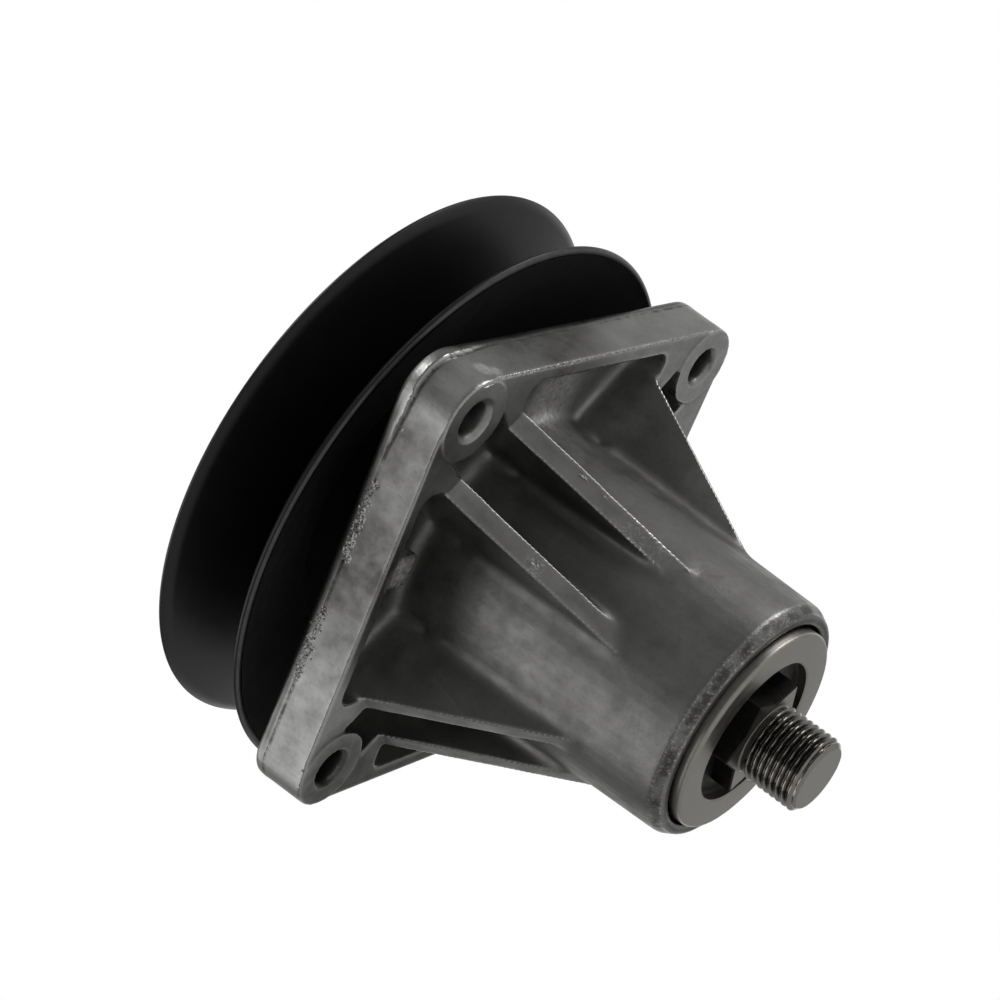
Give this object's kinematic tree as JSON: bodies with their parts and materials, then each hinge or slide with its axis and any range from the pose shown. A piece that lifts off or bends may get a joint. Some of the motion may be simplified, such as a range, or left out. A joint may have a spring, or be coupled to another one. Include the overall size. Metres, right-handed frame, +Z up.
{
  "type": "mower deck spindle",
  "caption": "Mower deck spindle: ribbed cast housing with square bolt flange, sealed ball bearings, forged shaft with star boss and threaded blade stud, pressed V-belt pulley.",
  "frame": {"origin": "on the shaft's axis, in the plane of the corner bosses that seat on the deck", "axes": "+Z up along the shaft to the pulley, +X and +Y square to the flange's sides"},
  "size_m": [0.1216, 0.1216, 0.1231],
  "materials": {
    "cast_aluminium": "raw die casting, mottled satin grey with bright worn edges",
    "machined_steel": "turned and forged steel, smooth satin grey",
    "bearing_steel": "ground and polished bearing steel",
    "cage_steel": "pressed sheet steel",
    "seal_rubber": "moulded black nitrile rubber",
    "black_paint": "satin black paint on pressed steel",
    "plated_steel": "zinc plated steel"
  },
  "bodies": {
    "housing": {"housing": "cast_aluminium", "lower_bearing_outer_ring": "bearing_steel", "lower_bearing_lower_seal": "seal_rubber", "lower_bearing_upper_seal": "seal_rubber", "upper_bearing_outer_ring": "bearing_steel", "upper_bearing_lower_seal": "seal_rubber", "upper_bearing_upper_seal": "seal_rubber"},
    "spindle": {"spindle_shaft": "machined_steel", "bearing_spacer": "machined_steel", "pulley_spacer": "machined_steel", "pulley_lower_half": "black_paint", "pulley_upper_half": "black_paint", "pulley_washer": "plated_steel", "pulley_nut": "plated_steel", "lower_bearing_inner_ring": "bearing_steel", "upper_bearing_inner_ring": "bearing_steel"},
    "lower_cage": {"lower_bearing_cage": "cage_steel", "lower_bearing_balls": "bearing_steel"},
    "upper_cage": {"upper_bearing_cage": "cage_steel", "upper_bearing_balls": "bearing_steel"}
  },
  "joints": [
    {"name": "spindle_turn", "type": "hinge", "parent": "housing", "child": "spindle", "pos_m": [0, 0, 0], "axis": [0, 0, 1], "continuous": true},
    {"name": "lower_cage_turn", "type": "hinge", "parent": "housing", "child": "lower_cage", "pos_m": [0, 0, 0], "axis": [0, 0, 1], "continuous": true},
    {"name": "upper_cage_turn", "type": "hinge", "parent": "housing", "child": "upper_cage", "pos_m": [0, 0, 0], "axis": [0, 0, 1], "continuous": true}
  ],
  "couplings": [
    {"joint": "lower_cage_turn", "follows": "spindle_turn", "ratio": 0.38163},
    {"joint": "upper_cage_turn", "follows": "spindle_turn", "ratio": 0.38163}
  ]
}
